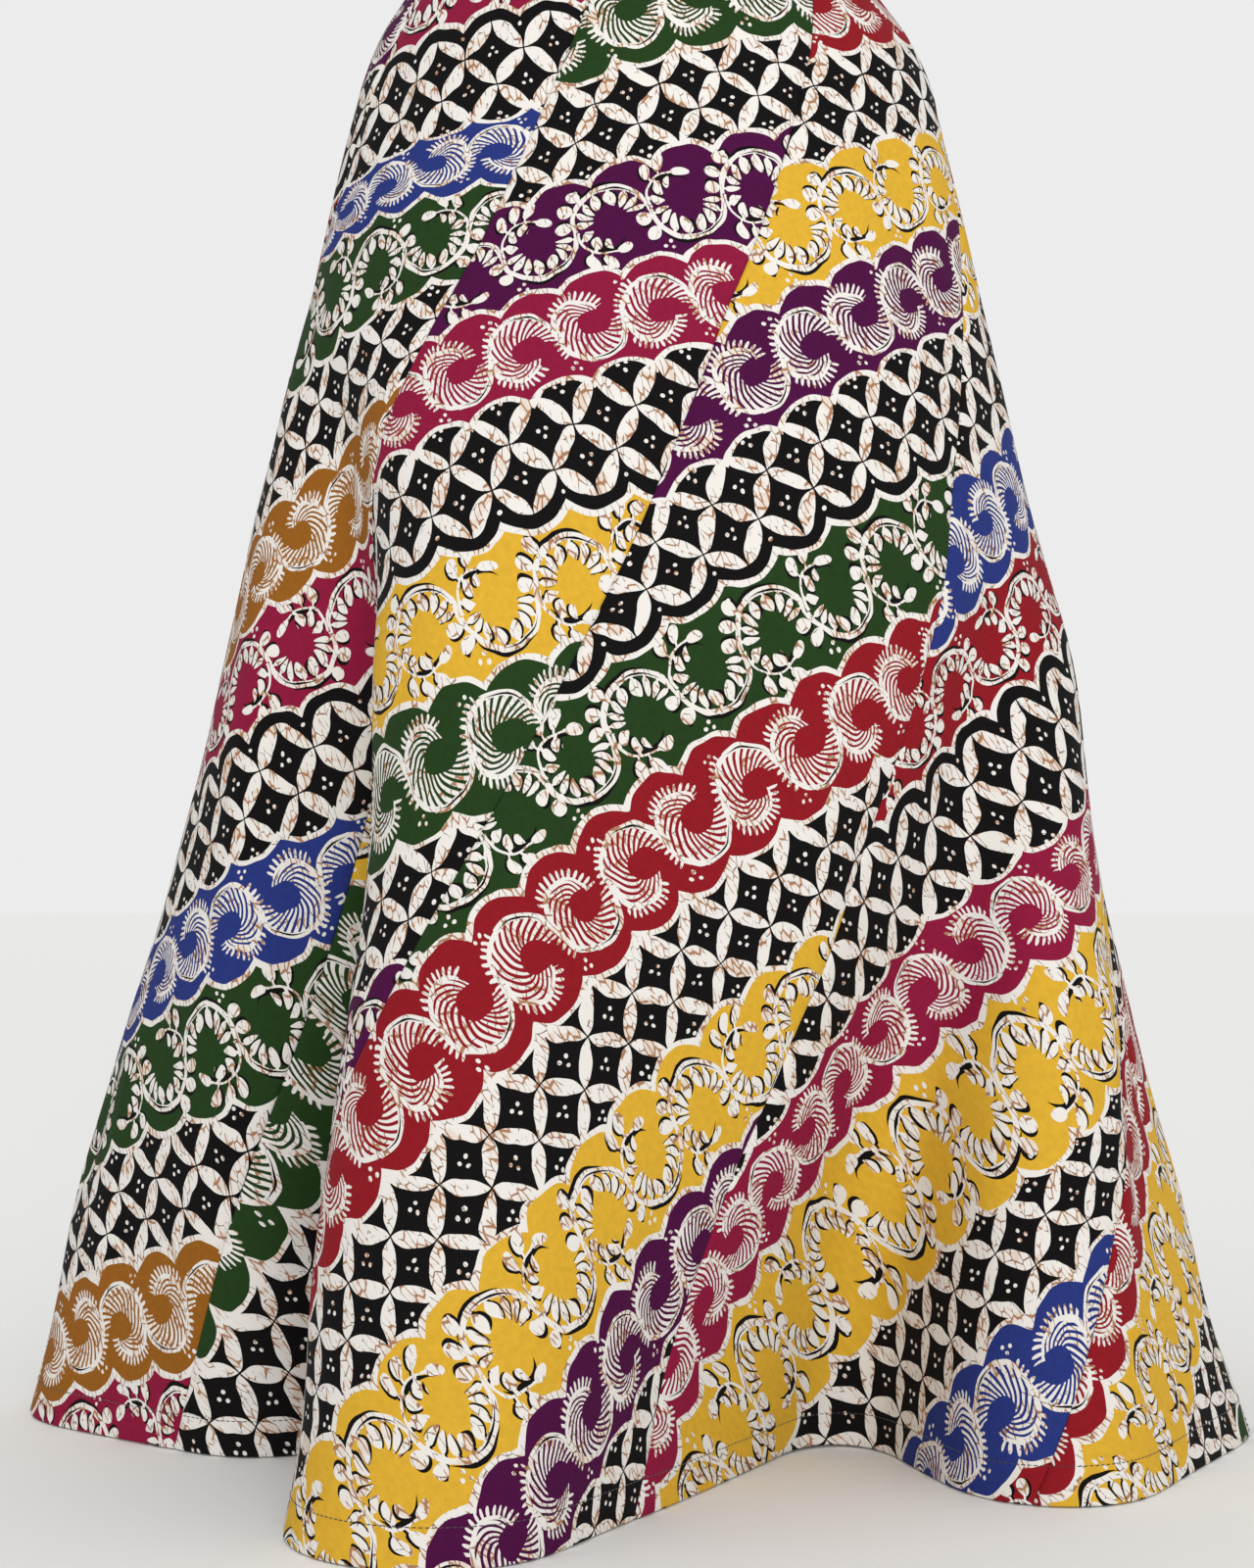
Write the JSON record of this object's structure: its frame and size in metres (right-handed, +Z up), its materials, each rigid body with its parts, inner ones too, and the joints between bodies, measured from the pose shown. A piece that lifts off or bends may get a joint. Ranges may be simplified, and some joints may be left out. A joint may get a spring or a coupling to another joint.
{
  "type": "batik skirt",
  "caption": "Long flared skirt of spiral gores in patchwork-banded batik cotton, filled out as if worn, with an open hem, a plain waistband and a concealed back zip.",
  "frame": {"origin": "middle of the waist, level with the waistband's top edge, where the skirt is held", "axes": "+Z up, -Y the front of the skirt, +X to the right seen from the front; the skirt hangs down from the origin"},
  "size_m": [0.6595, 0.5387, 0.805],
  "materials": {
    "batik_cotton": "matt plain-weave cotton with wax-resist dyed bands in white, black, red, yellow, green, blue, purple, magenta and ochre",
    "zip_tape": "matt black woven tape",
    "zip_metal": "nickel plated, smooth"
  },
  "bodies": {
    "skirt": {"panel_1": "batik_cotton", "panel_2": "batik_cotton", "panel_3": "batik_cotton", "panel_4": "batik_cotton", "panel_5": "batik_cotton", "panel_6": "batik_cotton", "panel_7": "batik_cotton", "waistband": "batik_cotton", "zip_tape_left": "zip_tape", "zip_tape_right": "zip_tape", "zip_slider": "zip_metal"},
    "pull_tab": {"zip_pull": "zip_metal"}
  },
  "joints": [
    {"name": "pull_tab_hinge", "type": "hinge", "parent": "skirt", "child": "pull_tab", "pos_m": [-0.03755, 0.0952, -0.0075], "axis": [0.9593, 0.2824, 0], "range_deg": [0, 150]}
  ]
}
